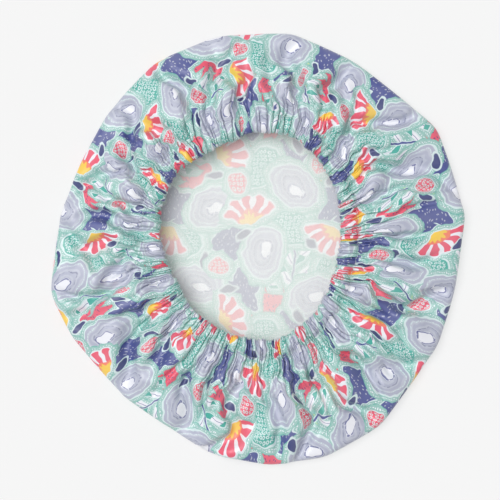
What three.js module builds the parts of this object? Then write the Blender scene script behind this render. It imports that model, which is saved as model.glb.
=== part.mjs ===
// A shower cap of printed cloth with a waterproof film lining, lying on its crown with its
// elastic mouth upwards. The cut is one round disc: its middle is the crown, the disc rolls over
// at the outline, and its outer part lies back on top as the brim, drawn up in pleats to the
// hem. The hem is the cloth's own edge turned under, and holds the elastic.
// Millimetres, +Z up, origin on the table under the middle of the cap.
import * as THREE from 'three';

// Overall shape
const capRadius = 151.5; // nominal radius of the flattened cap
const mouthRadius = 66; // nominal radius of the relaxed mouth
const rollRadius = 6.2; // the cloth's roll where the crown turns up into the brim
const hemHeight = 13.5; // underside of the hem above the table
const brimHeight = 22; // middle of the brim above the table

// Cloth and film
const clothThickness = 0.5;
const filmThickness = 0.25;
const layGap = 0.3; // air between one layer and the next

// Hem, measured from the mouth's edge
const hemWidth = 12.5; // to the line of stitching
const hemTurn = 15; // to the cut edge of the turned-under cloth
const casingInset = 2.2; // to where the casing is level
const casingSlope = 2.5; // from the level part down to the stitching
const filmCatch = 1.2; // film held past the stitching

// Pleats
const pleatCount = 32;
const hemPleatDepth = 3.6; // ridge to valley at the hem
const brimPleatDepth = 6.4; // ridge to valley in the middle of the brim
const footPleatDepth = 1.4; // what is left of a pleat at the rolled edge
const mouthScallop = 1.6; // how far a ridge stands into the mouth before a valley
const pleatWanderShare = 0.3; // of the way to the next fold line
const wanderWaves = [5, 13]; // waves round the cap that the fold lines' wander follows
const leastReachShare = 0.5; // of a pleat's depth in the brim, where it is shallowest
const reachWave = 0.9; // turn of that depth's wave from one fold line to the next
const brimMiddleShare = 0.5; // of the way from the rolled edge to the stitching

// Elastic band, a flat strip whose ends lap over each other
const elasticEase = 0.9; // between the band and each end of the casing's level part
const elasticThickness = 0.8;
const elasticLap = 14;
const elasticStepCount = 72;

// Sewing thread
const threadDiameter = 0.5;
const lapStitchLength = 8; // length of the zigzag that joins the elastic's ends
const lapStitchWidth = 3.6;
const lapStitchCount = 6;

// The outline of the cap and the mouth, anticlockwise from +X in even steps, as shares of the
// nominal radii.
const outlineShares = [
  0.955, 0.995, 1.01, 0.99, 0.98, 1.01, 1.02, 1.005, 0.99, 0.95, 0.92, 0.925,
  0.955, 0.99, 0.945, 0.93, 0.94, 0.975, 1.005, 1.02, 1.015, 0.975, 0.955, 0.94,
];
const mouthShares = [
  0.87, 0.92, 0.99, 1.08, 1.18, 1.25, 1.24, 1.18, 1.16, 1.17, 1.14, 1.08,
  1.01, 0.95, 0.93, 0.94, 0.95, 0.95, 0.97, 0.98, 0.94, 0.9, 0.87, 0.85,
];

// Where the section of the rolled edge has its corners
const rollTurns = [-90, -35, 25, 90].map(THREE.MathUtils.degToRad);

const casingWidth = hemWidth - casingInset - casingSlope; // its level part, over the elastic
const elasticWidth = casingWidth - 2 * elasticEase;
const leastBendCosine = 0.6; // keeps a sharp corner of the section from reaching too far
const columnCount = 2 * pleatCount; // one column on each ridge and one in each valley
const slopeAllowance = 1.12; // a layer on a pleat's slope is thicker when measured straight up
const sewnStack = (2 * clothThickness + filmThickness + 2 * layGap) * slopeAllowance ** 2;
const elasticStack = 2 * elasticThickness + layGap;
const casingRise = hemPleatDepth + 2 * (clothThickness * slopeAllowance + layGap) + elasticStack;

// A smooth value between shares that are spaced evenly round the circle
function shareAt(shares, angle) {
  const turns = angle / (2 * Math.PI);
  const place = (turns - Math.floor(turns)) * shares.length;
  const first = Math.floor(place);
  const t = place - first;
  const [a, b, c, d] = [-1, 0, 1, 2].map((step) => shares[(first + step + shares.length) % shares.length]);
  return b + 0.5 * t * (c - a + t * (2 * a - 5 * b + 4 * c - d + t * (3 * (b - c) + d - a)));
}

const outlineAt = (angle) => capRadius * shareAt(outlineShares, angle);
const mouthAt = (angle) => mouthRadius * shareAt(mouthShares, angle);

// Pleats aren't evenly spaced: each fold line wanders a little, by waves that close on themselves
function columnAngle(column) {
  const turn = (2 * Math.PI * column) / columnCount;
  const wander = wanderWaves.reduce((sum, waves) => sum + Math.sin(waves * turn), 0) / wanderWaves.length;
  return turn + (2 * Math.PI * pleatWanderShare * wander) / columnCount;
}

// Pleats are equally deep at the hem, and in the brim some stand less high than others
const hemFold = () => hemPleatDepth;
function brimFold(column) {
  const reach = (1 + Math.sin(reachWave * column)) / 2;
  return brimPleatDepth * THREE.MathUtils.lerp(leastReachShare, 1, reach);
}

// One ring of the printed face. fold gives the pleats' depth there, and side is 1 on a ridge,
// -1 in a valley and 0 on a ring that has no pleats.
function ring(columns, radius, height, fold = () => 0, scallop = 0) {
  const pointAt = (angle, side, column) => {
    const r = radius(angle) - (scallop / 2) * side;
    const z = height + (fold(column) / 2) * side;
    return new THREE.Vector3(r * Math.cos(angle), r * Math.sin(angle), z);
  };
  return { columns, pointAt };
}

// A ring part of the way from one ring to another, on the flat facets between them
function ringBetween(from, to, share) {
  const pointAt = (...place) => from.pointAt(...place).lerp(to.pointAt(...place), share);
  return { columns: to.columns, pointAt };
}

const rolledFoot = (angle) => outlineAt(angle) - rollRadius;
const seam = (angle) => mouthAt(angle) + hemWidth;
const hemRing = (inset, height) => ring(columnCount, (a) => mouthAt(a) + inset, height, hemFold);

const middle = ring(1, () => 0, 0);
const rolled = rollTurns.map((turn, i) =>
  ring(
    i < rollTurns.length - 1 ? pleatCount : columnCount,
    (a) => rolledFoot(a) + rollRadius * Math.cos(turn),
    rollRadius + rollRadius * Math.sin(turn),
    () => (i < rollTurns.length - 1 ? 0 : footPleatDepth),
  ),
);
const brimRadius = (a) => THREE.MathUtils.lerp(rolledFoot(a), seam(a), brimMiddleShare);
const brimMiddle = ring(columnCount, brimRadius, brimHeight, brimFold);
const stitched = hemRing(hemWidth, hemHeight + sewnStack);
const casingOuter = hemRing(casingInset + casingWidth, hemHeight + casingRise);
const casingInner = hemRing(casingInset, hemHeight + casingRise);
const mouthEdge = ring(columnCount, mouthAt, hemHeight + casingRise / 2, hemFold, mouthScallop);
const casingUnder = hemRing(casingInset, hemHeight);
const cutEdge = hemRing(hemTurn, hemHeight);

const outward = [middle, ...rolled, brimMiddle, stitched];
const clothRings = [...outward, casingOuter, casingInner, mouthEdge, casingUnder, cutEdge];
const filmEdge = ringBetween(stitched, casingOuter, filmCatch / casingSlope);
const filmRings = [...outward, filmEdge, casingOuter];

// The point of a ring at one of its own columns, or at a column of another ring beside it
function pointOn(ring, column, columns = ring.columns) {
  const at = (column * columnCount) / columns;
  const side = columns < columnCount ? 0 : at % 2 === 0 ? 1 : -1;
  return ring.pointAt(columnAngle(at), side, (at + columnCount) % columnCount);
}

// The point a given depth under the printed face, at one column of one ring. The depth is kept
// square to the facets on both sides of a fold and of a bend in the section.
function pointUnder(rings, row, column, depth) {
  const { columns } = rings[row];
  const here = pointOn(rings[row], column);
  if (columns === 1) return here.add(new THREE.Vector3(0, 0, depth));
  const into = here.clone().sub(pointOn(rings[row - 1], column, columns)).normalize();
  const after = rings[row + 1];
  const out = after ? pointOn(after, column, columns).sub(here).normalize() : into;
  const along = into.clone().add(out).normalize();
  const next = pointOn(rings[row], column + 1);
  const round = next.clone().sub(pointOn(rings[row], column - 1)).normalize();
  const inward = along.clone().cross(round).normalize();
  const foldScale = next.distanceTo(here) / Math.abs(next.sub(here).dot(round));
  const bendScale = 1 / Math.max(Math.cos(into.angleTo(out) / 2), leastBendCosine);
  return here.addScaledVector(inward, depth * foldScale * bendScale);
}

function ringUnder(rings, row, depth) {
  return Array.from({ length: rings[row].columns }, (_, column) => pointUnder(rings, row, column, depth));
}

// Triangles between two rings, one of which may have half or none of the other's columns
function band(a, b, join) {
  const at = (points, i) => points[i % points.length];
  if (a.length === 1) return b.forEach((_, i) => join(a[0], at(b, i + 1), b[i]));
  if (b.length === 1) return a.forEach((_, i) => join(a[i], at(a, i + 1), b[0]));
  const coarse = Math.min(a.length, b.length);
  for (let i = 0; i < coarse; i += 1) {
    if (a.length === b.length) {
      join(a[i], at(b, i + 1), b[i]);
      join(a[i], at(a, i + 1), at(b, i + 1));
    } else if (a.length < b.length) {
      join(a[i], b[2 * i + 1], b[2 * i]);
      join(a[i], at(a, i + 1), b[2 * i + 1]);
      join(at(a, i + 1), at(b, 2 * i + 2), b[2 * i + 1]);
    } else {
      join(a[2 * i], a[2 * i + 1], b[i]);
      join(a[2 * i + 1], at(b, i + 1), b[i]);
      join(a[2 * i + 1], at(a, 2 * i + 2), at(b, i + 1));
    }
  }
  return undefined;
}

// Collects triangles between rings into one indexed geometry whose corners are shared
class Skin {
  constructor() {
    this.corners = [];
    this.index = [];
    this.numbers = new Map();
  }

  numberOf(point) {
    if (!this.numbers.has(point)) {
      this.numbers.set(point, this.numbers.size);
      this.corners.push(...point.toArray());
    }
    return this.numbers.get(point);
  }

  // Rings from first to last. The faces of a turned run look the other way.
  run(rings, turned = false) {
    const join = (a, b, c) => {
      const triangle = turned ? [a, c, b] : [a, b, c];
      this.index.push(...triangle.map((point) => this.numberOf(point)));
    };
    for (let i = 0; i + 1 < rings.length; i += 1) band(rings[i], rings[i + 1], join);
    return this;
  }

  geometry() {
    const geometry = new THREE.BufferGeometry();
    geometry.setAttribute('position', new THREE.Float32BufferAttribute(this.corners, 3));
    geometry.setIndex(this.index);
    return geometry;
  }
}

// A layer of the cap from the crown's middle to its last ring. Both of its faces have the same
// facets, so it is equally thick where a facet is twisted.
function layer(rings, lastRow, outerDepth, innerDepth) {
  const rows = Array.from({ length: lastRow + 1 }, (_, row) => row);
  const outer = rows.map((row) => ringUnder(rings, row, outerDepth));
  const inner = rows.map((row) => ringUnder(rings, row, innerDepth));
  return new Skin().run(outer).run([outer[lastRow], inner[lastRow]]).run(inner, true).geometry();
}

// A thread lying on the printed face along a ring: a closed square-section loop
function hemThread(rings, row) {
  const near = -layGap;
  const far = near - threadDiameter;
  const half = threadDiameter / 2;
  const along = (column) =>
    pointOn(rings[row + 1], column).sub(pointOn(rings[row - 1], column)).normalize();
  const corner = (depth, shift) =>
    ringUnder(rings, row, depth).map((point, column) => point.addScaledVector(along(column), shift));
  const middleDepth = (near + far) / 2;
  const nearest = corner(near, 0);
  const sides = [corner(middleDepth, -half), corner(far, 0), corner(middleDepth, half)];
  return new Skin().run([nearest, ...sides, nearest]).geometry();
}

// A strip or thread swept through stations, each with its four corners in order
function swept(stations) {
  const [first, last] = [stations[0], stations[stations.length - 1]].map((corners) => [centreOf(corners)]);
  return new Skin().run([first, ...stations, last]).geometry();
}

function centreOf(points) {
  return points.reduce((sum, p) => sum.add(p), new THREE.Vector3()).divideScalar(points.length);
}

// The elastic climbs by one thickness and a gap in each turn, so that its ends lap
const elasticMiddle = hemHeight + casingRise / 2;
const elasticPitch = elasticThickness + layGap;

function elasticStation(turns, across, height) {
  const angle = 2 * Math.PI * turns;
  const radius = mouthAt(angle) + casingInset + casingWidth / 2 + across;
  const z = elasticMiddle + elasticPitch * (turns - 0.5) + height;
  return new THREE.Vector3(radius * Math.cos(angle), radius * Math.sin(angle), z);
}

function elasticBand(startTurns) {
  const lapTurns = elasticLap / (2 * Math.PI * mouthRadius);
  const stations = [];
  for (let i = 0; i <= elasticStepCount; i += 1) {
    const turns = startTurns - lapTurns / 2 + ((1 + lapTurns) * i) / elasticStepCount;
    const [w, h] = [elasticWidth / 2, elasticThickness / 2];
    stations.push([[-w, -h], [-w, h], [w, h], [w, -h]].map(([x, z]) => elasticStation(turns, x, z)));
  }
  return swept(stations);
}

// The zigzag that holds the lap, on the upper end of the elastic. At each corner the thread is
// cut square to the seam, so it is wider there than on a leg.
function lapStitching(startTurns) {
  const half = threadDiameter / 2;
  const stitchStep = lapStitchLength / lapStitchCount;
  const halfWide = (half * Math.hypot(lapStitchWidth, stitchStep)) / stitchStep;
  const z = elasticThickness / 2 + layGap + half;
  const stations = [];
  for (let i = 0; i <= lapStitchCount; i += 1) {
    const turns = 1 + startTurns + (i * stitchStep - lapStitchLength / 2) / (2 * Math.PI * mouthRadius);
    const across = (lapStitchWidth / 2) * (i % 2 === 0 ? 1 : -1);
    const corners = [[-halfWide, 0], [0, half], [halfWide, 0], [0, -half]];
    stations.push(corners.map(([x, dz]) => elasticStation(turns, across + x, z + dz)));
  }
  return swept(stations);
}

const cloth = new THREE.MeshStandardMaterial({ color: 0xb9d8d2, roughness: 0.75, metalness: 0 });
const film = new THREE.MeshStandardMaterial({ color: 0xe3efea, roughness: 0.4, metalness: 0 });
const elastic = new THREE.MeshStandardMaterial({ color: 0xf4f3f0, roughness: 0.8, metalness: 0 });
const thread = new THREE.MeshStandardMaterial({ color: 0xe9f2ef, roughness: 0.7, metalness: 0 });

const stitchedRow = clothRings.indexOf(stitched);
const underRow = clothRings.indexOf(casingUnder);
const underStitch = ringBetween(casingUnder, cutEdge, (hemWidth - casingInset) / (hemTurn - casingInset));
const underRings = [casingUnder, underStitch, cutEdge];
const filmDepth = clothThickness + layGap;
const lapTurn = columnAngle(0) / (2 * Math.PI); // under a ridge, where there is room for the zigzag

const pieces = [
  ['outer_shell', layer(clothRings, clothRings.length - 1, 0, clothThickness), cloth],
  ['liner', layer(filmRings, filmRings.indexOf(filmEdge), filmDepth, filmDepth + filmThickness), film],
  ['elastic_band', elasticBand(lapTurn), elastic],
  ['elastic_lap_stitching', lapStitching(lapTurn), thread],
  ['hem_needle_thread', hemThread(clothRings, stitchedRow), thread],
  ['hem_bobbin_thread', hemThread(underRings, underRings.indexOf(underStitch)), thread],
];

// The outline isn't quite even, so the cap is centred on the origin by its own box
const box = new THREE.Box3().setFromBufferAttribute(pieces[0][1].getAttribute('position'));
const centre = box.getCenter(new THREE.Vector3());

const cap = new THREE.Group();
for (const [name, geometry, material] of pieces) {
  geometry.translate(-centre.x, -centre.y, 0);
  const mesh = new THREE.Mesh(geometry, material);
  mesh.name = name;
  cap.add(mesh);
}

export default cap;
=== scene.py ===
import math

import bpy
import numpy as np
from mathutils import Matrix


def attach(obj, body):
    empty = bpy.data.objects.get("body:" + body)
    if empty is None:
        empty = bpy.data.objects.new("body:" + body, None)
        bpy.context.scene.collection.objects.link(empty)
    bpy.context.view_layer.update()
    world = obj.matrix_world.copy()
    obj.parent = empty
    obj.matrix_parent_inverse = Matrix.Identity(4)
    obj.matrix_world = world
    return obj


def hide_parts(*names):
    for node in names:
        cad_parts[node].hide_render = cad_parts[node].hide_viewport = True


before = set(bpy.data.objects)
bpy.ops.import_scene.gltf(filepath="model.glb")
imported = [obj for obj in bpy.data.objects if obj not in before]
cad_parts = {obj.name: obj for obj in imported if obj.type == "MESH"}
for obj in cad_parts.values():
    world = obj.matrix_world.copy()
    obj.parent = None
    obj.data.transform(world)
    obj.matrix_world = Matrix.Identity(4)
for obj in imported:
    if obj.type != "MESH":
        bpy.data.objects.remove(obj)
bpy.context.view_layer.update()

# Camera and light. The floor and the world are made at the end.
studio = dict(
    lens=121.0,
    sensor=36.0,
    height=1.2,
    aim=(-0.0056, -0.0007),  # what the middle of the photograph looks at
    sunStrength=2.1,
    sunSpread=40.0,  # degrees
    sunFrom=(-0.34, 0.15, 1.0),
)


def addObject(name, data):
    made = bpy.data.objects.new(name, data)
    bpy.context.scene.collection.objects.link(made)
    return made


def makeStudio():
    camera = addObject("camera", bpy.data.cameras.new("camera"))
    camera.data.lens = studio["lens"]
    camera.data.sensor_width = studio["sensor"]
    camera.location = (*studio["aim"], studio["height"])
    bpy.context.scene.camera = camera

    lamp = addObject("window", bpy.data.lights.new("window", "SUN"))
    lamp.data.energy = studio["sunStrength"]
    lamp.data.angle = math.radians(studio["sunSpread"])
    lamp.location = studio["sunFrom"]
    lamp.rotation_euler = (-lamp.location).to_track_quat("-Z", "Y").to_euler()
    bpy.context.scene.view_settings.view_transform = "Standard"


makeStudio()
print("camera and light made")


class Shade:
    # a number socket, so that shader maths can be written as expressions
    def __init__(self, paint, socket):
        self.paint = paint
        self.socket = socket

    def to(self, operation, *others, clamp=False):
        return self.paint.number(operation, self, *others, clamp=clamp)

    def __add__(self, other):
        return self.to("ADD", other)

    def __sub__(self, other):
        return self.to("SUBTRACT", other)

    def __rsub__(self, other):
        return self.paint.number("SUBTRACT", other, self)

    def __mul__(self, other):
        return self.to("MULTIPLY", other)

    def __truediv__(self, other):
        return self.to("DIVIDE", other)

    def __rtruediv__(self, other):
        return self.paint.number("DIVIDE", other, self)

    def __neg__(self):
        return self.to("MULTIPLY", -1)

    def __abs__(self):
        return self.to("ABSOLUTE")

    def __lt__(self, other):
        return self.to("LESS_THAN", other)

    def __gt__(self, other):
        return self.to("GREATER_THAN", other)

    __radd__ = __add__
    __rmul__ = __mul__


class Paint:
    # the nodes of one material, or of the world
    def __init__(self, owner, output="OutputMaterial"):
        self.owner = owner
        owner.use_nodes = True
        owner.node_tree.nodes.clear()
        self.output = self.node(output)

    def feed(self, socket, value):
        if isinstance(value, Shade):
            value = value.socket
        if isinstance(value, bpy.types.NodeSocket):
            self.owner.node_tree.links.new(value, socket)
        elif socket.type == "RGBA" and len(value) == 3:
            socket.default_value = (*value, 1)
        else:
            socket.default_value = value

    def node(self, kind, settings=None, values=None):
        made = self.owner.node_tree.nodes.new("ShaderNode" + kind)
        for key, value in (settings or {}).items():
            setattr(made, key, value)
        for key, value in (values or {}).items():
            self.feed(made.inputs[key], value)
        return made

    def number(self, operation, *values, clamp=False):
        made = self.node("Math", {"operation": operation, "use_clamp": clamp}, dict(enumerate(values)))
        return Shade(self, made.outputs[0])

    def vector(self, operation, *values):
        made = self.node("VectorMath", {"operation": operation}, dict(enumerate(values)))
        return made.outputs["Vector"]

    def length(self, vector):
        made = self.node("VectorMath", {"operation": "LENGTH"}, {0: vector})
        return Shade(self, made.outputs["Value"])

    def parts(self, vector):
        made = self.node("SeparateXYZ", values={0: vector})
        return [Shade(self, socket) for socket in made.outputs]

    def join(self, x, y):
        return self.node("CombineXYZ", values={0: x, 1: y}).outputs[0]

    def over(self, below, above, mask):
        made = self.node("Mix", {"data_type": "RGBA"}, {0: mask, 6: below, 7: above})
        return made.outputs[2]

    def pick(self, mask, below, above):
        made = self.node("Mix", {"data_type": "VECTOR"}, {0: mask, 4: below, 5: above})
        return made.outputs[1]

    def noise(self, vector, scale, detail=2.0, roughness=0.5):
        made = self.node("TexNoise", {"noise_dimensions": "3D"}, {
            "Vector": vector, "Scale": scale, "Detail": detail, "Roughness": roughness})
        return Shade(self, made.outputs[0])

    def noiseVector(self, vector, scale):
        made = self.node("TexNoise", {"noise_dimensions": "2D"}, {
            "Vector": vector, "Scale": scale, "Detail": 1.0})
        return made.outputs[1]

    def cells(self, vector, scale, randomness=1.0):
        made = self.node("TexVoronoi", {"voronoi_dimensions": "2D"}, {
            "Vector": vector, "Scale": scale, "Randomness": randomness})
        return Shade(self, made.outputs[0])

    def bump(self, height, distance, strength):
        made = self.node("Bump", values={"Strength": strength, "Distance": distance, "Height": height})
        return made.outputs[0]

    def pattern(self):
        # millimetres on the flat cloth
        place = self.node("UVMap", {"uv_map": "Pattern"}).outputs[0]
        return self.vector("MULTIPLY", place, (1000, 1000, 0))

    def finish(self, shader):
        self.feed(self.output.inputs["Surface"], shader.outputs[0])
        return self.owner


def tone(red, green, blue):
    # a screen colour, 0 to 255 and never near black, as linear light
    return tuple(((c / 255 + 0.055) / 1.055) ** 2.4 for c in (red, green, blue))


# The printed pattern. Lengths are millimetres on the flat cloth, and scales are cells to a millimetre.
printed = dict(
    repeat=118.0,
    wander=4.6,  # how far the pattern's lines stray
    wanderScale=0.11,
    softness=0.28,  # of a printed edge
    echo=1.1,  # pale line round each motif
    halo=4.4,  # ground kept clear round each motif
    haloLine=(4.2, 0.35),  # how far out a thin teal line runs, and its width
    haloDots=(2.4, 1.3),  # the same for a row of white dots
    stipple=(0.62, 0.5),  # scale and randomness
    beads=(0.36, 0.15),
    dots=(0.7, 0.25),
    dashes=(0.42, 0.8),
    flecks=(0.42, 0.2),  # scales across and along
    mint=tone(151, 198, 190),
    pale=tone(216, 234, 235),
    stone=tone(193, 197, 212),
    stoneDark=tone(165, 169, 193),
    white=tone(242, 243, 250),
    navy=tone(70, 80, 146),
    navyDark=tone(48, 58, 118),
    coral=tone(234, 88, 114),
    orange=tone(246, 128, 96),
    yellow=tone(248, 205, 72),
    teal=tone(66, 172, 158),
    leaf=tone(164, 213, 178),
)

# Places are x, y and a turn in degrees within the repeat. A size is half a width and half a height.
motifs = dict(
    blades=dict(
        places=[(44, 54, 20), (-54, -44, 80), (24, -34, -30)],
        size=(20, 7.5), bend=0.012, vein=0.7),
    patches=dict(
        places=[(-50, 54, 30), (10, -34, 70)],
        size=(12.3, 7.6), rounded=2.4, slant=0.3, skew=0.012),
    sprigs=dict(
        places=[(27, -11, 85), (-56, -49, 20), (-57, 10, 100)],
        bend=0.012, step=14.4, slope=1.1, leafLength=17, leafFullness=1.5, size=(17, 16),
        stemEcho=(2.4, 19), stem=(1.3, 18.5), vein=0.6),
    blots=dict(
        places=[(54, 34, 0), (-20, 6, 40), (-12, -30, 75), (22, -56, 20), (-52, 22, 10)],
        radius=12.6, lobes=((5, 0, 2.6), (3, 1, 1.8))),  # how many, their turn and their depth
    beaded=dict(
        places=[(-56, 4, 0), (2, 56, 50), (58, -14, 20), (25, 15, -25)],
        size=(15.5, 11)),
    agates=dict(
        places=[(-34, 30, 20), (26, 44, -35), (4, -2, 75), (-44, -26, -20), (40, -34, 15)],
        size=(18, 13.2), bands=1.9, heart=(7.4, 4.4), heartAt=(3.0, -1.2)),
    fans=dict(
        places=[(-6, 26, 10), (50, 8, 150), (-20, -50, -60)],
        foot=9.5, reach=19.5, scallop=1.8, spread=1.12, ribs=13, orange=10.5, yellow=8),
    pods=dict(
        places=[(-10, 10, 30), (38, 4, -40), (-38, -8, 80), (-22, -30, 10), (28, -46, 120), (52, 50, 60),
                (-30, 52, 0)],
        size=(5.4, 2.5)),
    clusters=dict(
        places=[(-14, 46, 0), (-28, -12, 0), (46, -57, 0)],
        radius=6.5),
)


def printColour(paint, point, softness):
    s = printed
    half = s["repeat"] / 2
    stray = paint.vector("SUBTRACT", paint.noiseVector(point, s["wanderScale"]), (0.5, 0.5, 0.5))
    point = paint.vector("ADD", point, paint.vector("MULTIPLY", stray, (s["wander"], s["wander"], 0)))

    def nearest(places):
        # the point as seen from the nearest place, and how far away that is
        best = local = None
        for x, y, turn in places:
            moved = paint.vector("SUBTRACT", point, (x, y, 0))
            wrapped = paint.vector("WRAP", moved, (half, half, half), (-half, -half, -half))
            near = paint.node("VectorRotate", {"rotation_type": "Z_AXIS"}, {
                "Vector": wrapped, "Angle": math.radians(-turn)}).outputs[0]
            away = paint.length(near)
            local = near if best is None else paint.pick(away < best, local, near)
            best = away if best is None else best.to("MINIMUM", away)
        return local, best

    def inside(distance, edge=softness):
        return (0.5 - distance / edge).to("MAXIMUM", 0).to("MINIMUM", 1)

    def line(distance, width):
        return inside(abs(distance) - width / 2)

    def oval(local, size, middle=(0.0, 0.0)):
        moved = paint.vector("SUBTRACT", local, (*middle, 0))
        squeezed = paint.vector("MULTIPLY", moved, (1 / size[0], 1 / size[1], 0))
        return (paint.length(squeezed) - 1) * min(size)

    def motif(colour, fill, distance):
        # filled, in its pale echo line, with a row of white dots and a thin teal line outside it
        lineAt, lineWide = s["haloLine"]
        dotsAt, dotsWide = s["haloDots"]
        teal = line(distance - lineAt, lineWide) * inside(dashes - 0.5, 0.2) * 0.8
        white = line(distance - dotsAt, dotsWide) * inside(dots - 0.3, 0.12) * 0.95
        colour = paint.over(colour, s["mint"], inside(distance - s["halo"]))
        colour = paint.over(colour, s["teal"], teal)
        colour = paint.over(colour, s["white"], white)
        colour = paint.over(colour, s["pale"], inside(distance - s["echo"]))
        return paint.over(colour, fill, inside(distance))

    beads, dots, dashes = [paint.cells(point, *s[name]) for name in ("beads", "dots", "dashes")]
    flecks = paint.cells(paint.vector("MULTIPLY", point, (*s["flecks"], 0)), 1.0)
    stipple = inside(paint.cells(point, *s["stipple"]) - 0.22, 0.12)
    strokes = inside(flecks - 0.16, 0.07)

    # mint ground with white stipple
    colour = paint.over(s["mint"], s["white"], stipple * 0.85)

    # leaf blades, bent, with yellow stipple and a teal vein
    m = motifs["blades"]
    local, _ = nearest(m["places"])
    x, y, _ = paint.parts(local)
    bent = y - x * x * m["bend"]
    shape = oval(paint.join(x, bent), m["size"])
    colour = motif(colour, s["leaf"], shape)
    colour = paint.over(colour, s["yellow"], inside(shape + 1) * stipple * 0.7)
    colour = paint.over(colour, s["teal"], inside(shape) * line(bent, m["vein"]))

    # coral patches with a slanted outline and small navy strokes
    m = motifs["patches"]
    local, _ = nearest(m["places"])
    x, y, _ = paint.parts(local)
    slanted = paint.join(x + y * m["slant"], y + x * y * m["skew"])
    past = paint.vector("SUBTRACT", paint.vector("ABSOLUTE", slanted), (*m["size"], 0))
    shape = paint.length(paint.vector("MAXIMUM", past, (0, 0, 0))) - m["rounded"]
    colour = motif(colour, s["coral"], shape)
    colour = paint.over(colour, s["navyDark"], inside(shape + 1.2) * strokes * 0.8)

    # sprigs: a bent navy stem, with long leaves of teal and white to both sides at each step
    m = motifs["sprigs"]
    local, _ = nearest(m["places"])
    x, y, _ = paint.parts(local)
    bent = y - x * x * m["bend"]
    out = abs(bent)
    along = (x - out * m["slope"]).to("WRAP", m["step"] / 2, -m["step"] / 2)
    leaf = (out * (1 - out / m["leafLength"]).to("MAXIMUM", 0)).to("SQRT") * m["leafFullness"]
    shape = (abs(along) - leaf).to("MAXIMUM", abs(x) - m["size"][0]).to("MAXIMUM", out - m["size"][1])
    side = (x + 5 * m["step"]).to("MODULO", m["step"]) - m["step"] / 2
    white = inside(side * bent)
    colour = motif(colour, paint.over(s["teal"], s["white"], white), shape)
    colour = paint.over(colour, s["navy"], line(along, m["vein"]) * inside(shape + 0.5) * white)
    for tint, (wide, reach) in (("pale", m["stemEcho"]), ("navy", m["stem"])):
        colour = paint.over(colour, s[tint], line(bent, wide) * inside(abs(x) - reach))

    # navy blots with a lobed outline and pale strokes
    m = motifs["blots"]
    local, away = nearest(m["places"])
    x, y, _ = paint.parts(local)
    bearing = y.to("ARCTAN2", x)
    shape = away - m["radius"]
    for lobes, turned, depth in m["lobes"]:
        shape = shape - (bearing * lobes + turned).to("SINE") * depth
    colour = motif(colour, s["navy"], shape)
    colour = paint.over(colour, s["stone"], inside(shape + 1.2) * strokes * 0.9)

    # teal ovals filled with rings
    m = motifs["beaded"]
    local, _ = nearest(m["places"])
    shape = oval(local, m["size"])
    colour = motif(colour, s["teal"], shape)
    colour = paint.over(colour, s["pale"], inside(shape + 0.8) * inside(abs(beads - 0.3) - 0.11, 0.1))

    # agate slices: blue-grey bands of changing tone, and a white heart with a fine navy line round it
    m = motifs["agates"]
    local, _ = nearest(m["places"])
    shape = oval(local, m["size"])
    bands = (shape * m["bands"] + (flecks - 0.3) * 1.2).to("SINE")
    banded = paint.over(s["stone"], s["stoneDark"], inside(bands - 0.1, 0.9) * 0.55)
    colour = motif(colour, banded, shape)
    colour = paint.over(colour, s["pale"], line(shape + 2.2, 0.7) * inside(dots - 0.42, 0.2) * 0.9)
    heart = oval(local, m["heart"], m["heartAt"])
    colour = paint.over(colour, s["white"], inside(heart))
    colour = paint.over(colour, s["navy"], line(heart + 0.5, 0.7) * inside(dashes - 0.62, 0.2) * 0.9)
    colour = paint.over(colour, s["navyDark"], line(shape + 6.6, 0.6) * inside(dashes - 0.5, 0.2) * 0.55)

    # fans: a yellow foot and coral ribs that spread from it
    m = motifs["fans"]
    local, _ = nearest(m["places"])
    x, y, _ = paint.parts(paint.vector("ADD", local, (0, m["foot"], 0)))
    reach = paint.length(paint.join(x, y))
    bearing = x.to("ARCTAN2", y)
    ribs = (bearing * m["ribs"]).to("COSINE")
    scallops = abs((bearing * (m["ribs"] / 2)).to("COSINE")) * m["scallop"]
    shape = (reach - m["reach"] - scallops).to("MAXIMUM", (abs(bearing) - m["spread"]) * reach)
    colour = motif(colour, s["white"], shape)
    colour = paint.over(colour, s["coral"], inside(shape + 0.5) * inside(-ribs - 0.45, 0.3))
    colour = paint.over(colour, s["orange"], inside(shape) * inside(reach - m["orange"]))
    colour = paint.over(colour, s["yellow"], inside(shape) * inside(reach - m["yellow"] - ribs * 1.2))

    # navy pods
    m = motifs["pods"]
    local, _ = nearest(m["places"])
    shape = oval(local, m["size"])
    colour = paint.over(colour, s["pale"], inside(shape - s["echo"] * 0.8))
    colour = paint.over(colour, s["navyDark"], inside(shape))

    # round coral clusters filled with rings
    m = motifs["clusters"]
    _, away = nearest(m["places"])
    shape = away - m["radius"]
    colour = motif(colour, s["coral"], shape)
    return paint.over(colour, s["pale"], inside(shape + 0.4) * inside(abs(beads - 0.27) - 0.1, 0.1))


weave = dict(
    threads=4.0,  # to a millimetre
    depth=0.00004,
    strength=0.35,
)
faceFinish = dict(
    worn=0.25,  # how far paler patches are shown
    wornScale=0.05,
    roughness=0.3,
    sheen=0.04,
    sheenRoughness=0.45,
    specular=0.55,
)
reverseFinish = dict(
    softness=1.1,  # the print is blurred through the cloth
    plain=tone(249, 248, 244),
    plainShare=0.56,
    creaseDepth=0.004,  # soft creases of the crown, seen from within
    creaseScale=0.03,
    broadScale=0.011,
    roughness=0.75,
    specular=0.3,
    paintedGlow=0.12,  # painted light: the reverse glows with its own colour, in place of the light that the floor sends up through the cloth
)


def weaveHeight(paint, point):
    x, y, _ = paint.parts(point)
    turn = math.pi * weave["threads"]
    return (x * turn).to("SINE") * (y * turn).to("SINE")


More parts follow.
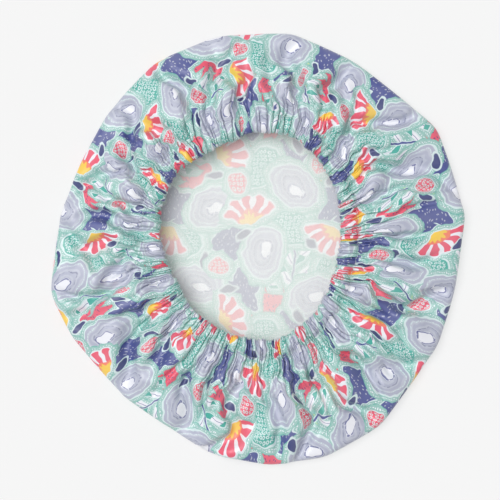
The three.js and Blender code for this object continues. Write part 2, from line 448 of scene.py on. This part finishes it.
def makePrintedFace():
    s = faceFinish
    face = Paint(bpy.data.materials.new("printedFace"))
    point = face.pattern()
    worn = face.noise(point, s["wornScale"], 3)
    colour = printColour(face, point, printed["softness"])
    colour = face.over(colour, printed["white"], (worn - 0.3) * s["worn"])
    bump = face.bump(weaveHeight(face, point), weave["depth"], weave["strength"])
    return face.finish(face.node("BsdfPrincipled", values={
        "Base Color": colour, "Roughness": s["roughness"], "Normal": bump, "Sheen Weight": s["sheen"],
        "Sheen Roughness": s["sheenRoughness"], "Specular IOR Level": s["specular"]}))


def makeClothReverse():
    s = reverseFinish
    back = Paint(bpy.data.materials.new("clothReverse"))
    point = back.pattern()
    colour = back.over(printColour(back, point, s["softness"]), s["plain"], s["plainShare"])
    creases = abs(back.noise(point, s["creaseScale"], 3) - 0.5)
    broad = abs(back.noise(point, s["broadScale"], 2, 0.4) - 0.5) * 2
    height = creases + broad + weaveHeight(back, point) * weave["depth"] / s["creaseDepth"]
    # painted light: the reverse glows with its own colour, standing in for light that the floor sends up
    # through the cloth
    return back.finish(back.node("BsdfPrincipled", values={
        "Base Color": colour, "Roughness": s["roughness"], "Specular IOR Level": s["specular"],
        "Normal": back.bump(height, s["creaseDepth"], 1.0),
        "Emission Color": colour, "Emission Strength": s["paintedGlow"]}))


filmFinish = dict(
    colour=tone(243, 247, 245),
    roughness=0.3,
    alpha=0.1,
    cloudScale=0.035,
    creaseScale=0.05,
    creaseDepth=0.003,
    creaseStrength=0.8,
    specular=0.45,
)


def makeFilmMaterial():
    s = filmFinish
    film = Paint(bpy.data.materials.new("liningFilm"))
    point = film.pattern()
    clouds = film.noise(point, s["cloudScale"], 3)
    creases = abs(film.noise(point, s["creaseScale"], 4, 0.55) - 0.5)
    return film.finish(film.node("BsdfPrincipled", values={
        "Base Color": s["colour"], "Roughness": s["roughness"] + clouds * 0.2,
        "Alpha": s["alpha"] + (clouds - 0.5) * 0.1, "Specular IOR Level": s["specular"],
        "Normal": film.bump(creases, s["creaseDepth"], s["creaseStrength"])}))


threadFinish = dict(dark=0.8, depth=0.0001, strength=0.5, roughness=0.6, specular=0.4)


def makeThreadMaterial(name, colour, scale):
    s = threadFinish
    thread = Paint(bpy.data.materials.new(name))
    fine = thread.noise(thread.node("TexCoord").outputs["Object"], scale, 3)
    return thread.finish(thread.node("BsdfPrincipled", values={
        "Base Color": thread.over(colour, tuple(c * s["dark"] for c in colour), fine),
        "Roughness": s["roughness"], "Specular IOR Level": s["specular"],
        "Normal": thread.bump(fine, s["depth"], s["strength"])}))


# The shape of the cap, in millimetres and degrees.
# Shares of a radius run anticlockwise from +X in even steps.
capShape = dict(
    capRadius=150.6,
    mouthRadius=66.0,
    outline=[0.955, 0.995, 1.01, 0.99, 0.98, 1.01, 1.02, 1.005, 0.99, 0.95, 0.92, 0.925,
             0.955, 0.99, 0.945, 0.93, 0.94, 0.975, 1.005, 1.02, 1.015, 0.975, 0.955, 0.94],
    mouth=[0.87, 0.92, 0.99, 1.08, 1.18, 1.25, 1.24, 1.18, 1.16, 1.17, 1.14, 1.08,
           1.01, 0.95, 0.93, 0.94, 0.95, 0.95, 0.97, 0.98, 0.94, 0.9, 0.87, 0.85],
    corners=[9, 34, 62, 81, 101, 119, 138, 154, 170, 192, 206, 228, 257, 273, 288, 305, 332, 347],
    straight=0.8,  # how straight the edge runs from corner to corner
    cornerBlur=0.004,
    roll=6.2,
    hem=12.5,
    seamHeight=19.6,
    clothThickness=0.4,
    crownShares=(0.06, 0.16, 0.28, 0.4, 0.52, 0.64, 0.75, 0.85, 0.93, 0.98),  # rows of the crown
    rollTurns=(-72, -48, -24, -6, 10, 26, 44, 64, 90),  # rows up the rolled edge, in degrees
    columns=dict(coarse=240, fine=960, finest=1920),
    seed=11,
)
brim = dict(
    rows=26,
    start=13,  # the height that its fall to the seam is reckoned from
    rise=9.5,
    arch=(0.62, 1.15),  # how far over its top it runs, and how full it is
    fallFrom=0.72,  # share of the way in where the fall to the seam begins
    slack=1.03,  # length of the cloth against the straight way in
    finestFrom=0.42,
)
random = np.random.default_rng(capShape["seed"])
every = np.linspace(0, 2 * math.pi, 720, endpoint=False)  # half degrees round the cap


def shareAt(shares, angle):
    # a smooth closed curve through the shares
    shares = np.array(shares)
    turns = angle / (2 * math.pi)
    place = (turns - np.floor(turns)) * len(shares)
    first = np.floor(place).astype(int)
    t = place - first
    a, b, c, d = [shares[(first + step) % len(shares)] for step in (-1, 0, 1, 2)]
    return b + 0.5 * t * (c - a + t * (2 * a - 5 * b + 4 * c - d + t * (3 * (b - c) + d - a)))


def blur(values, width):
    # smooths a value round the ring, by a share of the ring
    waves = np.fft.rfft(values)
    waves *= np.exp(-2 * (math.pi * width * np.arange(len(waves))) ** 2)
    return np.fft.irfft(waves, len(values))


def makeOutline():
    # the folds leave the cap's edge with soft corners, and nearly straight between them
    angles = np.linspace(0, 2 * math.pi, 1440, endpoint=False)
    curved = capShape["capRadius"] * shareAt(capShape["outline"], angles)
    corners = np.radians(capShape["corners"])
    reach = capShape["capRadius"] * shareAt(capShape["outline"], corners)
    x, y = reach * np.cos(corners), reach * np.sin(corners)
    last = np.searchsorted(corners, angles) - 1
    x0, y0, x1, y1 = x[last], y[last], x[(last + 1) % len(x)], y[(last + 1) % len(x)]
    chord = (x0 * y1 - y0 * x1) / (np.cos(angles) * (y1 - y0) - np.sin(angles) * (x1 - x0))
    edge = curved + capShape["straight"] * (blur(chord, capShape["cornerBlur"]) - curved)
    return angles, edge * curved.mean() / edge.mean()


outlineAngles, outlineEdge = makeOutline()


def outlineAt(angle):
    return np.interp(angle, outlineAngles, outlineEdge, period=2 * math.pi)


def mouthAt(angle):
    return capShape["mouthRadius"] * shareAt(capShape["mouth"], angle)


def smooth(low, high, x):
    t = np.clip((x - low) / (high - low), 0, 1)
    return t * t * (3 - 2 * t)


# The hem's casing, from the seam round the elastic and back under the seam: distance in from the seam,
# height over it, and the share of the folds' dip.
casingPath = [
    (0, 0, 1.0), (1.3, 0.9, 1.0), (2.8, 2.0, 0.98), (4.6, 2.8, 0.96), (6.4, 3.1, 0.94), (8.2, 3.0, 0.9),
    (9.9, 2.4, 0.82), (11.3, 1.4, 0.7), (12.2, 0.2, 0.55), (12.5, -1.3, 0.4), (12.1, -2.8, 0.3),
    (11, -4.1, 0.25), (9.2, -4.9, 0.2), (6.5, -5.2, 0.15), (3.8, -4.6, -0.25), (1.6, -3.0, -0.75),
    (0, -1.9, -1.0), (-2.0, -2.3, -1.0),
]
casing = dict(tip=9, seam=16, drop=0.25)  # rows at the mouth's edge and back at the seam, and its drop


def brimHeight(share):
    turn, fullness = brim["arch"]
    return brim["start"] + brim["rise"] * np.sin(share * math.pi * turn) ** fullness


def makeRows():
    # The section, as rows from the crown's middle to the cut edge. Each has its distance from the middle on
    # the flat cloth, its share of the folds' dip, its columns, the distance at which its folds are
    # taken, and its radius and height at any angle.
    roll, hem = capShape["roll"], capShape["hem"]
    crownFlat = float(np.mean(outlineAt(every))) - roll
    brimFlat = float(np.mean(outlineAt(every) - roll - mouthAt(every) - hem)) * brim["slack"]
    rows = []
    for share in capShape["crownShares"]:
        rows.append((crownFlat * share, 0.0, "coarse", crownFlat * share,
                     lambda a, share=share: ((outlineAt(a) - roll) * share, np.zeros_like(a))))
    for turn in np.radians(capShape["rollTurns"]):
        flat = crownFlat + roll * (turn + math.pi / 2)
        rows.append((flat, float(smooth(-0.2, 0.9, turn)), "coarse" if turn < -0.2 else "fine", flat,
                     lambda a, turn=turn: (outlineAt(a) - roll + roll * math.cos(turn),
                                           roll + roll * math.sin(turn) + np.zeros_like(a))))
    top = brimHeight(1.0)
    for i in range(1, brim["rows"]):
        share = i / brim["rows"]
        fall = (capShape["seamHeight"] - top) * smooth(brim["fallFrom"], 1.0, share)
        height = 2 * roll + (brimHeight(share) - brim["start"]) + fall
        flat = crownFlat + math.pi * roll + brimFlat * share
        rows.append((flat, 1.0, "fine" if share < brim["finestFrom"] else "finest", flat,
                     lambda a, share=share, height=height: (
                         (outlineAt(a) - roll) * (1 - share) + (mouthAt(a) + hem) * share,
                         height + np.zeros_like(a))))
    seamFlat = crownFlat + math.pi * roll + brimFlat
    gone, lengths = 0.0, []
    for before, after in zip([casingPath[0], *casingPath], casingPath):
        gone += math.hypot(after[0] - before[0], after[1] - before[1])
        lengths.append(gone)
    tip = lengths[casing["tip"]]
    turned = tip / (lengths[casing["seam"]] - tip)
    for gone, (inward, up, dip) in zip(lengths, casingPath):
        # the turned cloth is gathered with the cloth over it, so it has the same folds
        above = gone if gone < tip else tip - (gone - tip) * turned
        rows.append((seamFlat + gone, dip, "finest", seamFlat + above,
                     lambda a, inward=inward, up=up: (
                         mouthAt(a) + hem - inward,
                         capShape["seamHeight"] - casing["drop"] + up + np.zeros_like(a))))
    return rows, seamFlat


rows, seamFlat = makeRows()
cutFlat = rows[-1][0]
print("section:", len(rows), "rows, flat radius", round(cutFlat, 1), "mm")

# Three trains of folds, one over the other: deep ones from the outline, lesser ones from half way in, and
# the hem's fine gathers. A fold is narrow where it starts and fills its own part of the ring further in.
mainFolds = dict(  # degrees round the cap, and how strong each one is
    angles=[18, 44, 61, 78, 95, 113, 137, 158, 178, 197, 219, 240, 262, 284, 299, 320, 342],
    strength=[0.7, 1.3, 0.7, 1.2, 1.0, 0.7, 0.9, 0.7, 0.8, 1.25, 0.8, 0.7, 0.9, 1.2, 1.3, 0.7, 1.3],
)
foldTrains = [
    dict(count=17, spread=0.0, start=136, full=162, scatter=(-4, 12), fades=(200, 226, 0.16),
         narrow=0.3, wide=205, weight=1.12, tilt=0.9),
    dict(count=43, spread=0.5, start=152, full=184, scatter=(-8, 18), fades=(210, 232, 0.25),
         narrow=0.5, wide=202, weight=1.1, tilt=0.7),
    dict(count=230, spread=0.38, start=195, full=212, scatter=(-9, 14), fades=(300, 301, 1.0),
         narrow=0.75, wide=218, weight=1.0, tilt=0.45),
]
foldLimits = dict(  # each From is a place on the flat cloth, in millimetres from its middle
    outer=1.35,  # the hardest turn by the edge and by the hem, in radians
    inner=1.5,
    innerFrom=(165, 215),
    taken=0.45,  # share of the spare cloth that folds take up by the edge, and all of it further in
    takenFrom=(150, 200),
    growth=(1, 1.5),  # how far main and lesser folds may grow to take up cloth
    rounds=26,
    level=45,  # per cent of a ring that stands above the section
    rise=4.5,  # at most, above the section
    fall=13,  # at most, under it
    fallAtHem=3.4,
    fallFrom=204,
    drift=0.15,  # share of the cloth's long shifts round the cap that is kept
    driftBlur=0.035,
    dipBlur=0.02,
    lean=0.6,  # how far a fold leans over
    sway=(0.28, 13),  # how far it wanders, in widths, and over what length
    slant=((3, 0.05, 1.0), (5, 0.035, 4.0)),  # what neighbouring folds slant together
    slantFrom=(165, 222),
)


def makeTrain(count, spread, start, scatter, tilt, **other):
    widths = random.uniform(1 - spread, 1 + spread, count)
    widths *= 2 * math.pi / widths.sum()
    centres = np.cumsum(widths) - widths / 2 + random.uniform(0, 1)
    strength = random.uniform(0.65, 1.15, count)
    if not spread:
        # the main folds have their own places
        centres, strength = np.radians(mainFolds["angles"]), np.array(mainFolds["strength"])
        gaps = (np.roll(centres, -1) - centres) % (2 * math.pi)
        widths = np.minimum(gaps, np.roll(gaps, 1))
    return dict(
        other, widths=widths, centres=centres, strength=strength, start=start,
        starts=start + random.uniform(*scatter, count), lean=random.uniform(-tilt, tilt, count),
        phase=random.uniform(0, 2 * math.pi, count))


folds = [makeTrain(**train) for train in foldTrains]


def foldsAt(flat, angles, train):
    # how hard one train of folds turns each point of a row
    low, high, left = train["fades"]
    fade = 1 - (1 - left) * float(smooth(low, high, flat))
    widen = train["narrow"] + (1 - train["narrow"]) * float(smooth(train["start"], train["wide"], flat))
    slanted = float(smooth(*foldLimits["slantFrom"], flat))
    sway, swayLength = foldLimits["sway"]
    turn = np.zeros_like(angles)
    for width, centre, start, strength, lean, phase in zip(
            *(train[key] for key in ("widths", "centres", "starts", "strength", "lean", "phase"))):
        grown = float(smooth(start, start + train["full"] - train["start"], flat))
        amount = strength * train["weight"] * fade * grown
        if amount <= 0:
            continue
        slant = sum(size * math.sin(waves * centre + turned) for waves, size, turned in foldLimits["slant"])
        drift = sway * width * math.sin(flat / swayLength + phase) + slanted * slant
        t = ((angles - centre - drift + math.pi) % (2 * math.pi) - math.pi) / (width * widen / 2)
        inFold = np.abs(t) < 1
        t = np.clip(t, -1, 1)
        bent = np.sin(math.pi * (t + lean * (1 - t * t) * foldLimits["lean"]))
        turn += amount * np.where(inFold, bent, 0)
    return turn


def foldRow(flat, ringLength, angles):
    # the row's cloth, folded until it has the ring's length: angle round the cap, and dip
    s = foldLimits
    spare = max(2 * math.pi * flat / ringLength - 1, 0)
    taken = s["taken"] + (1 - s["taken"]) * float(smooth(*s["takenFrom"], flat))
    wanted = 1 / (1 + spare * taken)
    main, lesser, fine = (foldsAt(flat, angles, train) for train in folds)
    if wanted > 0.9995 or not main.any():
        return angles.copy(), np.zeros_like(angles)
    limit = s["outer"] + (s["inner"] - s["outer"]) * float(smooth(*s["innerFrom"], flat))
    mainMost, lesserMost = s["growth"]
    low, high = 0.0, 4.0
    for _ in range(s["rounds"]):
        middle = (low + high) / 2
        hard = main * min(middle, mainMost) + lesser * min(middle, lesserMost) + fine * middle
        turn = limit * np.tanh(hard / limit)
        if np.cos(turn).mean() > wanted:
            low = middle
        else:
            high = middle
    step = 2 * math.pi * flat / len(angles)
    ahead = np.cos(turn)
    gone = np.cumsum((ahead + np.roll(ahead, 1)) / 2)
    around = 2 * math.pi * gone / gone[-1]
    wander = around - angles
    around -= (1 - s["drift"]) * blur(wander, s["driftBlur"]) + s["drift"] * wander.mean()
    down = np.sin(turn) - np.sin(turn).mean()
    dip = -np.cumsum((down + np.roll(down, 1)) / 2) * step
    dip -= blur(dip, s["dipBlur"])
    return around, dip - np.percentile(dip, s["level"])


puffing = dict(count=14, waves=(7, 30), length=(38, 90), size=(0.4, 1.0), height=0.45, grown=(148, 170))
puffs = [(int(random.integers(*puffing["waves"])), random.uniform(*puffing["length"]),
          random.uniform(0, 6.28), random.uniform(*puffing["size"])) for _ in range(puffing["count"])]


def puffAt(flat, angles):
    # broad low swellings of the brim
    height = 0
    for waves, length, phase, size in puffs:
        across = math.sin(flat / length + phase)
        height = height + size * np.sin(waves * angles + phase + 3 * math.sin(flat / length)) * across
    return height * puffing["height"]


def makeMiddle():
    # middle of the cloth, one array of points for each row
    s = foldLimits
    made = []
    for i, (flat, dipShare, grade, foldFlat, place) in enumerate(rows):
        count = capShape["columns"][grade]
        angles = np.arange(count) * 2 * math.pi / count
        r, _ = place(every)
        ringLength = float(np.hypot(np.diff(np.append(r, r[0])), r * 2 * math.pi / len(every)).sum())
        around, dip = angles.copy(), np.zeros(count)
        if dipShare:
            around, dip = foldRow(foldFlat, ringLength, angles)
        before, after = rows[max(i - 1, 0)][-1], rows[min(i + 1, len(rows) - 1)][-1]
        (r0, z0), (r, z), (r1, z1) = before(around), place(around), after(around)
        size = np.hypot(r1 - r0, z1 - z0)
        outR, outZ = (z1 - z0) / size, (r0 - r1) / size
        lift = puffAt(foldFlat, angles) * float(smooth(*puffing["grown"], flat)) - dip
        fall = s["fall"] + (s["fallAtHem"] - s["fall"]) * float(smooth(s["fallFrom"], seamFlat, foldFlat))
        risen, fallen = s["rise"] * np.tanh(lift / s["rise"]), fall * np.tanh(lift / fall)
        move = dipShare * np.where(lift > 0, risen, fallen)
        r, z = r + outR * move, np.maximum(z + outZ * move, 0)
        made.append(np.stack([r * np.cos(around), r * np.sin(around), z], axis=1))
    return made


def faceNormals(middle, pole):
    # each point's own normal, from its neighbours, facing the printed side
    normals = []
    for i, row in enumerate(middle):
        count = len(row)
        along = np.roll(row, -1, 0) - np.roll(row, 1, 0)

        def beside(other):
            if len(other) == count:
                return other
            if len(other) < count:
                wide = np.arange(count) * len(other) / count
                first = wide.astype(int)
                t = (wide - first)[:, None]
                return other[first % len(other)] * (1 - t) + other[(first + 1) % len(other)] * t
            return other[:: len(other) // count]

        before = beside(middle[i - 1]) if i else np.repeat(pole[None], count, 0)
        after = beside(middle[i + 1]) if i + 1 < len(middle) else row
        across = after - before
        normal = np.cross(along, across)
        normal /= np.maximum(np.linalg.norm(normal, axis=1, keepdims=True), 1e-9)
        normals.append(normal)
    return normals


def bandFaces(firstA, countA, firstB, countB, turned):
    # between two rows, of which the second may have several points to each of the first
    faces = []
    if countA == countB:
        for i in range(countA):
            j = (i + 1) % countA
            faces.append([firstA + i, firstA + j, firstB + j, firstB + i])
    else:
        many = countB // countA
        for i in range(countA):
            j = (i + 1) % countA
            ahead = [firstB + (i * many + k) % countB for k in range(many, -1, -1)]
            faces.append([firstA + i, firstA + j, *ahead])
    return [face[::-1] for face in faces] if turned else faces


def makeLayer(name, middle, flats, thickness):
    # a closed sheet with two faces, from its middle surface
    pole = middle[0].mean(0)
    normals = faceNormals(middle, pole)
    points, pattern, faces, slots = [], [], [], []
    starts = {}
    below = np.array([0, 0, -1.0])  # the crown's printed side lies on the floor
    for side, offset in (("outer", thickness / 2), ("inner", -thickness / 2)):
        poleIndex = len(points)
        points.append(pole + below * offset)
        pattern.append((0.0, 0.0))
        first = []
        for row, normal, flat in zip(middle, normals, flats):
            first.append(len(points))
            angles = np.arange(len(row)) * 2 * math.pi / len(row)
            points.extend(row + normal * offset)
            pattern.extend(zip(flat * np.cos(angles), flat * np.sin(angles)))
        starts[side] = first
        turned = side == "outer"
        count = len(middle[0])
        for i in range(count):
            corner = [poleIndex, first[0] + i, first[0] + (i + 1) % count]
            faces.append(corner[::-1] if turned else corner)
        for i in range(len(middle) - 1):
            faces.extend(bandFaces(first[i], len(middle[i]), first[i + 1], len(middle[i + 1]), not turned))
        slots.extend([0 if turned else 1] * (len(faces) - len(slots)))
    last = len(middle[-1])
    faces.extend(bandFaces(starts["outer"][-1], last, starts["inner"][-1], last, False))
    slots.extend([1] * (len(faces) - len(slots)))

    mesh = bpy.data.meshes.new(name)
    points = np.array(points) / 1000
    mesh.from_pydata(points.tolist(), [], faces)
    mesh.polygons.foreach_set("material_index", slots)
    mesh.polygons.foreach_set("use_smooth", [True] * len(faces))
    corners = np.empty(len(mesh.loops), dtype=np.int32)
    mesh.loops.foreach_get("vertex_index", corners)
    pattern = np.array(pattern) / 1000
    mesh.uv_layers.new(name="Pattern").data.foreach_set("uv", pattern[corners].ravel())
    # one disc for each face, side by side, for baking
    reach = cutFlat / 1000 * 1.01
    inner = (corners >= len(points) // 2)[:, None]
    discs = 0.25 + pattern[corners] / reach * 0.245 + inner * np.array([[0.5, 0.0]])
    mesh.uv_layers.new(name="OFBake").data.foreach_set("uv", discs.ravel())
    return addObject(name, mesh)


def settle(made, node, slotName, *materials):
    for material in materials:
        made.data.materials.append(material)
    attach(made, "root")
    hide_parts(node)


flats = [row[0] for row in rows]
clothMiddle = makeMiddle()
allPoints = np.concatenate(clothMiddle)
capCentre = (allPoints.max(0) + allPoints.min(0)) / 2 * np.array([1, 1, 0])
capFloor = np.array([0, 0, capShape["clothThickness"] / 2])
clothMiddle = [row - capCentre + capFloor for row in clothMiddle]
shell = makeLayer("outerShell", clothMiddle, flats, capShape["clothThickness"])
settle(shell, "outer_shell", "printed_cloth", makePrintedFace(), makeClothReverse())
print("outer shell:", len(shell.data.polygons), "faces")

lining = dict(
    thickness=0.12,
    under=0.32,  # how far its middle lies within the cloth's
    lift=0.35,  # over the crown's cloth
    wrinkle=0.9,
    wrinkleWaves=(16, 0.14),
    flatFrom=(125, 146),  # it follows the cloth's folds from the second on
    rowsPastSeam=1,
)


def makeLining():
    last = len(rows) - len(casingPath) + 1 + lining["rowsPastSeam"]
    normals = faceNormals(clothMiddle, clothMiddle[0].mean(0))
    middle = [row - normal * lining["under"] for row, normal in zip(clothMiddle[:last], normals)]
    count, most = lining["wrinkleWaves"]
    waves = [(random.uniform(-most, most), random.uniform(-most, most), random.uniform(0, 6.28))
             for _ in range(count)]
    for row, flat in zip(middle, flats):
        if flat < lining["flatFrom"][1]:
            lift = sum(np.sin(row[:, 0] * a + row[:, 1] * b + c) for a, b, c in waves) / 4
            row[:, 2] = capShape["clothThickness"] + lining["lift"] + lining["wrinkle"] * np.clip(
                lift + 0.4, 0, 2) * (1 - float(smooth(*lining["flatFrom"], flat)))
    return makeLayer("capLining", middle, flats[:last], lining["thickness"])


liner = makeLining()
film = makeFilmMaterial()
settle(liner, "liner", "lining_film", film, film)
print("lining:", len(liner.data.polygons), "faces")


def sweep(name, lines, closed):
    # a skin along parallel lines of points, which run round a strip or thread in order
    lines = [np.asarray(line) for line in lines]
    count, sides = len(lines[0]), len(lines)
    points = np.stack(lines, 1).reshape(-1, 3) / 1000
    faces = []
    for i in range(count if closed else count - 1):
        for k in range(sides):
            a, b = i * sides, ((i + 1) % count) * sides
            faces.append([a + k, b + k, b + (k + 1) % sides, a + (k + 1) % sides])
    if not closed:
        faces.append(list(range(sides)))
        faces.append([(count - 1) * sides + k for k in range(sides - 1, -1, -1)])
    mesh = bpy.data.meshes.new(name)
    mesh.from_pydata(points.tolist(), [], faces)
    mesh.polygons.foreach_set("use_smooth", [True] * len(faces))
    return addObject(name, mesh)


def tube(name, path, radius, sides=6, closed=True):
    # a thread along a path
    along = np.roll(path, -1, 0) - np.roll(path, 1, 0)
    if not closed:
        along[0], along[-1] = path[1] - path[0], path[-1] - path[-2]
    along /= np.maximum(np.linalg.norm(along, axis=1, keepdims=True), 1e-9)
    up = np.array([0, 0, 1.0]) - along * along[:, 2:3]
    up /= np.maximum(np.linalg.norm(up, axis=1, keepdims=True), 1e-9)
    side = np.cross(along, up)
    turns = np.arange(sides) * 2 * math.pi / sides
    return sweep(name, [path + radius * (math.cos(t) * up + math.sin(t) * side) for t in turns], closed)


elasticBand = dict(
    inset=3.4,  # out from the mouth's edge
    width=5.6,
    thickness=0.8,
    groove=0.25,  # how much thinner it is between its cords
    cords=5,
    height=16.6,
    lap=14,
    lapRise=1.1,  # from one end to the other, which lies over it
    steps=420,
)


def makeElastic():
    s = elasticBand
    lap = s["lap"] / (2 * math.pi * capShape["mouthRadius"])
    turns = np.linspace(-lap / 2, 1 + lap / 2, s["steps"])
    angle = 2 * math.pi * turns
    rise = s["lapRise"] * (turns - 0.5)

    def line(across, up):
        r = mouthAt(angle) + s["inset"] + across
        return np.stack([r * np.cos(angle), r * np.sin(angle), s["height"] + rise + up], 1) - capCentre

    across = np.linspace(0, s["width"], 2 * s["cords"] + 1)
    bulge = s["thickness"] / 2 * (1 - s["groove"] * (np.arange(len(across)) % 2 == 0))
    lines = [line(a, b) for a, b in zip(across, bulge)]
    lines += [line(a, -b) for a, b in zip(across[::-1], bulge[::-1])]
    return sweep("elasticBand", lines, False)


elastic = makeElastic()
settle(elastic, "elastic_band", "elastic", makeThreadMaterial("braidedElastic", tone(240, 240, 236), 900))

lapTack = dict(stitches=6, length=8.0, width=3.6, radius=0.2, over=1.45, arch=0.12)


def makeLapStitching():
    # a zigzag through the lap of the elastic
    s = lapTack
    middle = mouthAt(np.array([0.0]))[0] + elasticBand["inset"] + elasticBand["width"] / 2
    t = np.linspace(0, s["stitches"], s["stitches"] * 6 + 1)
    angle = (t / s["stitches"] - 0.5) * s["length"] / middle
    across = s["width"] / 2 * (1 - 2 * np.abs((t % 2) - 1))
    lift = elasticBand["height"] + s["over"] + s["arch"] * np.abs(np.sin(math.pi * t))
    path = np.stack([(middle + across) * np.cos(angle), (middle + across) * np.sin(angle), lift], 1)
    return tube("elasticLapStitching", path - capCentre, s["radius"], closed=False)


threadMaterial = makeThreadMaterial("sewingThread", tone(226, 240, 236), 1400)
lapStitching = makeLapStitching()
settle(lapStitching, "elastic_lap_stitching", "sewing_thread", threadMaterial)

hemThread = dict(
    stitch=2.5,
    radius=0.16,
    lift=0.3,
    fullness=1.8,  # how long a stitch stays on top
    sink=0.05,
    steps=2880,
)


def makeHemThread(name, row):
    # follows the folded cloth along the seam, and goes down into it between stitches
    middle = clothMiddle[row]
    normal = faceNormals(clothMiddle[row - 1:row + 2], clothMiddle[0].mean(0))[1]
    at = np.arange(hemThread["steps"]) * len(middle) / hemThread["steps"]
    first = at.astype(int)
    t = (at - first)[:, None]
    path = middle[first] * (1 - t) + middle[(first + 1) % len(middle)] * t
    out = normal[first] * (1 - t) + normal[(first + 1) % len(middle)] * t
    stitches = round(2 * math.pi * seamFlat / hemThread["stitch"])
    wave = np.abs(np.sin(np.arange(hemThread["steps"]) * math.pi * stitches / hemThread["steps"]))
    lift = hemThread["lift"] * np.minimum(1, hemThread["fullness"] * wave) - hemThread["sink"]
    return tube(name, path + out * lift[:, None], hemThread["radius"], 5)


needleThread = makeHemThread("hemNeedleThread", len(rows) - len(casingPath))
settle(needleThread, "hem_needle_thread", "sewing_thread", threadMaterial)
bobbinThread = makeHemThread("hemBobbinThread", len(rows) - 2)
settle(bobbinThread, "hem_bobbin_thread", "sewing_thread", threadMaterial)
print("elastic and threads made")


# Floor and world. What the camera sees of them is made apart from the light that they give.
backdrop = dict(
    worldStrength=0.37,
    shown=0.92,  # where 1 is white
    floorColour=(0.93, 0.93, 0.93),
    floorShown=0.7,  # share of the floor seen as plain backdrop, which makes its shadow faint
    roughness=0.9,
    specular=0.1,
    reach=4.0,
    drop=0.0002,
)


def seenDirectly(paint):
    # 1 for rays from the camera, and for what glass and gloss show
    ray = paint.node("LightPath").outputs
    seen = Shade(paint, ray["Is Camera Ray"])
    for kind in ("Is Glossy Ray", "Is Transmission Ray"):
        seen = seen.to("ADD", ray[kind], clamp=True)
    return seen


def makeFloor():
    s = backdrop
    reach = s["reach"]
    square = [(-reach, -reach, 0), (reach, -reach, 0), (reach, reach, 0), (-reach, reach, 0)]
    mesh = bpy.data.meshes.new("floor")
    mesh.from_pydata(square, [], [(0, 1, 2, 3)])
    floor = addObject("floor", mesh)
    floor.location.z = -s["drop"]
    paint = Paint(bpy.data.materials.new("paleFloor"))
    lit = paint.node("BsdfPrincipled", values={
        "Base Color": s["floorColour"], "Roughness": s["roughness"], "Specular IOR Level": s["specular"]})
    plain = paint.node("Emission", values={"Color": (1, 1, 1), "Strength": s["shown"]})
    share = seenDirectly(paint) * s["floorShown"]
    mix = paint.node("MixShader", values={0: share, 1: lit.outputs[0], 2: plain.outputs[0]})
    mesh.materials.append(paint.finish(mix))


def makeWorld():
    paint = Paint(bpy.data.worlds.new("studio"), "OutputWorld")
    light, shown = [paint.node("Background", values={"Color": (1, 1, 1), "Strength": backdrop[name]})
                    for name in ("worldStrength", "shown")]
    mix = paint.node("MixShader", values={0: seenDirectly(paint), 1: light.outputs[0], 2: shown.outputs[0]})
    bpy.context.scene.world = paint.finish(mix)


makeFloor()
makeWorld()
print("floor and world made")
clothArea = math.pi * (cutFlat / 1000) ** 2
filmArea = math.pi * (seamFlat / 1000) ** 2
2 * cutFlat / 1000
2 * cutFlat / 1000
2 * seamFlat / 1000
2 * seamFlat / 1000
